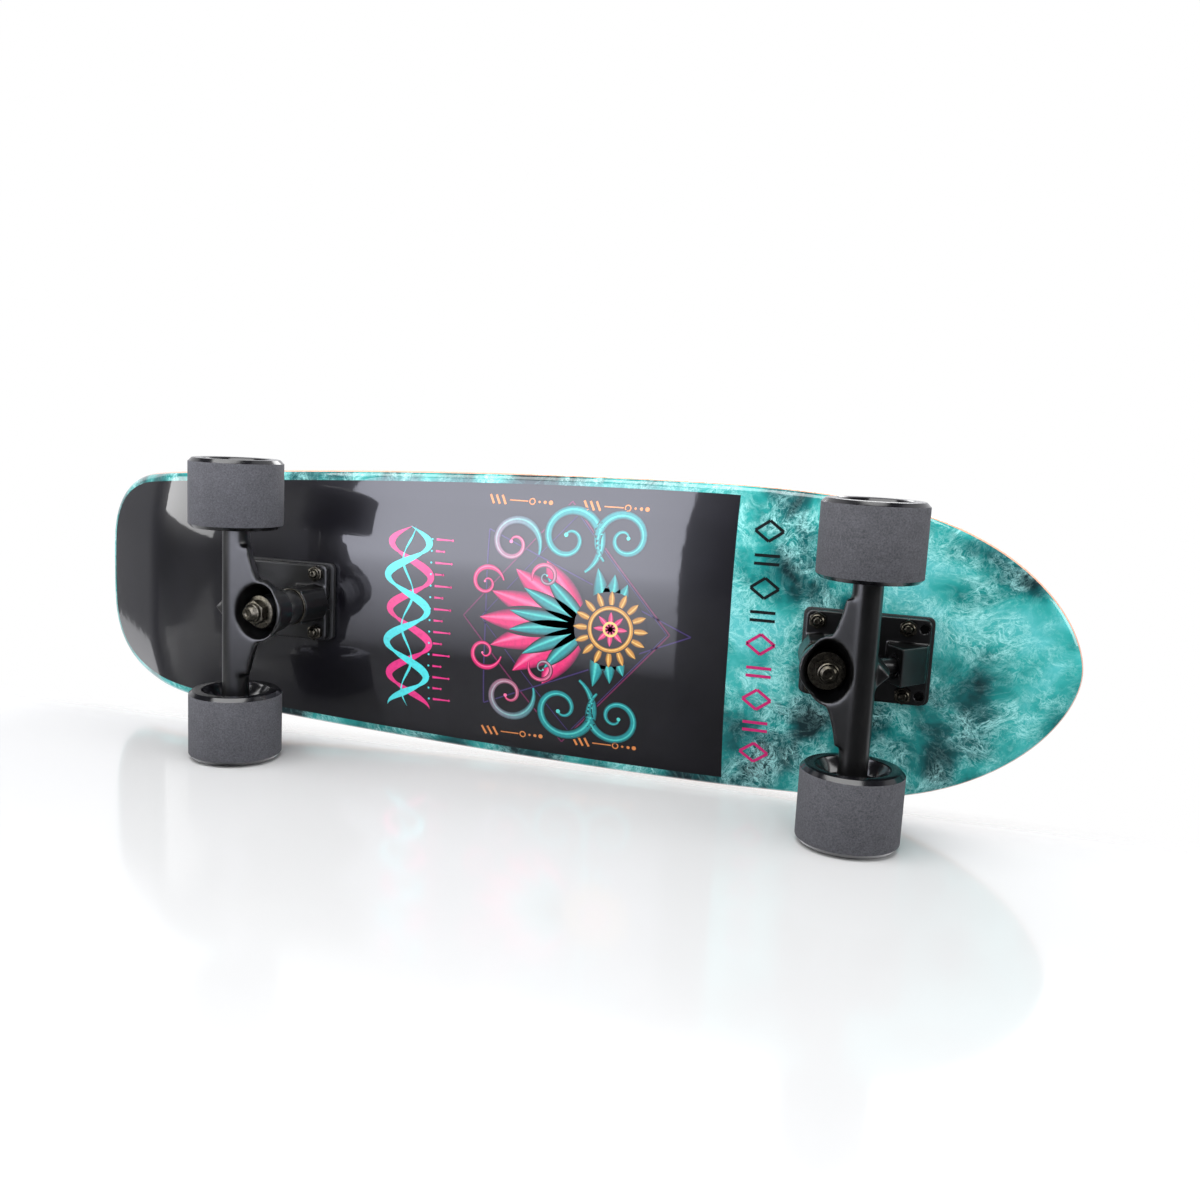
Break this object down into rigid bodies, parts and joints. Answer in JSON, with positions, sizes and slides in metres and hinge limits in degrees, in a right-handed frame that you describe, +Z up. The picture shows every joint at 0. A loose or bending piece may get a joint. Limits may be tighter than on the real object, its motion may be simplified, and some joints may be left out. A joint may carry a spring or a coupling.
{
  "type": "skateboard",
  "caption": "Cruiser skateboard: a concave deck with one kicktail, grip tape on top, riser pads, steering kingpin trucks sprung by rubber bushings, and soft wheels that roll on ball bearings.",
  "frame": {"origin": "on the ground, under the middle of the board's overall length and width", "axes": "+X towards the nose, +Y to the rider's left with the nose ahead, +Z up; the wheels stand on Z = 0"},
  "size_m": [0.7276, 0.2, 0.1642],
  "materials": {
    "deck": "printed and clear-coated plywood",
    "grip": "black abrasive sheet",
    "riser": "black moulded rubber",
    "truck": "black coated casting",
    "steel": "dark nickel plate",
    "bushing": "black cast urethane",
    "wheel": "matte grey urethane tread, black sides",
    "bearing": "ground steel"
  },
  "bodies": {
    "deck": {"deck": "deck", "grip_tape": "grip", "riser_pad_front": "riser", "baseplate_front": "truck", "pivot_cup_front": "bushing", "kingpin_front": "steel", "kingpin_nut_front": "steel", "road_washer_front": "steel", "board_washer_front": "steel", "road_bushing_front": "bushing", "board_bushing_front": "bushing", "deck_bolt_front_inner_left": "steel", "lock_nut_front_inner_left": "steel", "deck_bolt_front_inner_right": "steel", "lock_nut_front_inner_right": "steel", "deck_bolt_front_outer_left": "steel", "lock_nut_front_outer_left": "steel", "deck_bolt_front_outer_right": "steel", "lock_nut_front_outer_right": "steel", "riser_pad_rear": "riser", "baseplate_rear": "truck", "pivot_cup_rear": "bushing", "kingpin_rear": "steel", "kingpin_nut_rear": "steel", "road_washer_rear": "steel", "board_washer_rear": "steel", "road_bushing_rear": "bushing", "board_bushing_rear": "bushing", "deck_bolt_rear_inner_left": "steel", "lock_nut_rear_inner_left": "steel", "deck_bolt_rear_inner_right": "steel", "lock_nut_rear_inner_right": "steel", "deck_bolt_rear_outer_left": "steel", "lock_nut_rear_outer_left": "steel", "deck_bolt_rear_outer_right": "steel", "lock_nut_rear_outer_right": "steel"},
    "truck_front": {"hanger_front": "truck", "axle_front": "steel", "axle_nut_front_left": "steel", "bearing_spacer_front_left": "steel", "axle_nut_front_right": "steel", "bearing_spacer_front_right": "steel"},
    "truck_rear": {"hanger_rear": "truck", "axle_rear": "steel", "axle_nut_rear_left": "steel", "bearing_spacer_rear_left": "steel", "axle_nut_rear_right": "steel", "bearing_spacer_rear_right": "steel"},
    "wheel_front_left": {"wheel_front_left": "wheel", "bearing_front_left_inner": "bearing", "bearing_front_left_outer": "bearing"},
    "wheel_front_right": {"wheel_front_right": "wheel", "bearing_front_right_inner": "bearing", "bearing_front_right_outer": "bearing"},
    "wheel_rear_left": {"wheel_rear_left": "wheel", "bearing_rear_left_inner": "bearing", "bearing_rear_left_outer": "bearing"},
    "wheel_rear_right": {"wheel_rear_right": "wheel", "bearing_rear_right_inner": "bearing", "bearing_rear_right_outer": "bearing"}
  },
  "joints": [
    {"name": "steer_front", "type": "hinge", "parent": "deck", "child": "truck_front", "pos_m": [0.25512, 0, 0.06534], "axis": [0.8554, 0, 0.518], "range_deg": [-15, 15], "stiffness_Nm_per_rad": 60, "deforming": ["road_bushing_front", "board_bushing_front"]},
    {"name": "steer_rear", "type": "hinge", "parent": "deck", "child": "truck_rear", "pos_m": [-0.1845, 0, 0.06534], "axis": [-0.8554, 0, 0.518], "range_deg": [-15, 15], "stiffness_Nm_per_rad": 60, "deforming": ["road_bushing_rear", "board_bushing_rear"]},
    {"name": "spin_front_left", "type": "hinge", "parent": "truck_front", "child": "wheel_front_left", "pos_m": [0.23781, 0.0766, 0.03], "axis": [0, 1, 0], "continuous": true},
    {"name": "spin_front_right", "type": "hinge", "parent": "truck_front", "child": "wheel_front_right", "pos_m": [0.23781, -0.0766, 0.03], "axis": [0, 1, 0], "continuous": true},
    {"name": "spin_rear_left", "type": "hinge", "parent": "truck_rear", "child": "wheel_rear_left", "pos_m": [-0.16719, 0.0766, 0.03], "axis": [0, 1, 0], "continuous": true},
    {"name": "spin_rear_right", "type": "hinge", "parent": "truck_rear", "child": "wheel_rear_right", "pos_m": [-0.16719, -0.0766, 0.03], "axis": [0, 1, 0], "continuous": true}
  ]
}
